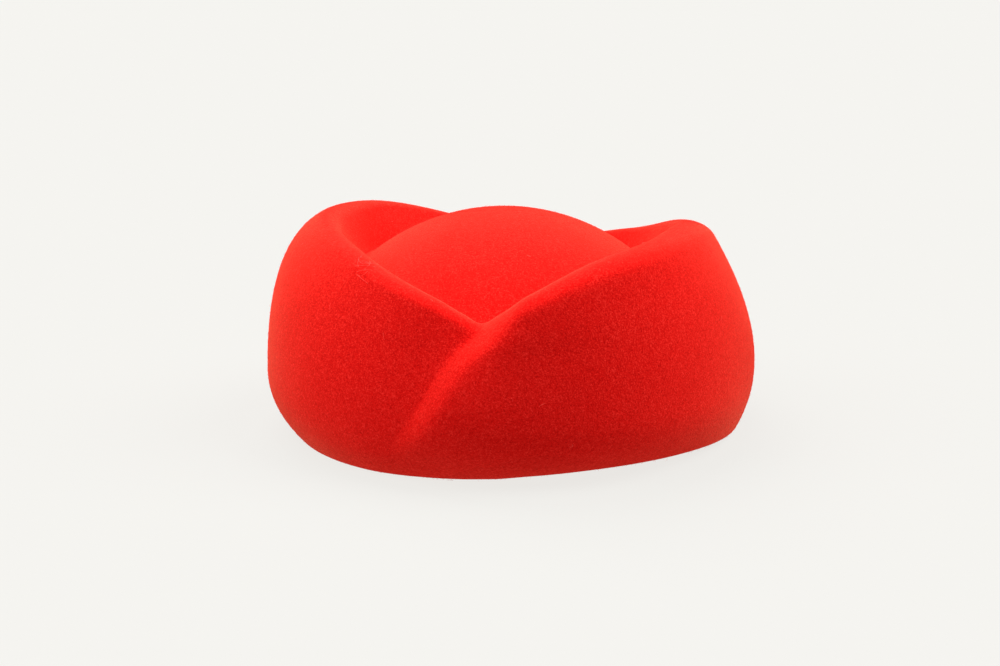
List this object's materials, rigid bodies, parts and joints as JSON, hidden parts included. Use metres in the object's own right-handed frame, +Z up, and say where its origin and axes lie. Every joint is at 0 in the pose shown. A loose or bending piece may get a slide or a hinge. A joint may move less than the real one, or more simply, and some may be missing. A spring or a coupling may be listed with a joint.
{
  "type": "pillbox hat",
  "caption": "Pillbox hat blocked from one piece of red wool felt: domed crown in a groove, cuff raised as two side wings, notched front with a fold. Hollow and open below.",
  "frame": {"origin": "middle of the hat's outline seen from above, on the surface that the hem rests on", "axes": "+Z up out of the crown, -Y out of the front notch, +X towards the wearer's left"},
  "size_m": [0.1972, 0.2232, 0.0859],
  "materials": {
    "felt": "matt wool felt with a short soft nap"
  },
  "bodies": {
    "root": {"felt_body": "felt"}
  },
  "joints": []
}
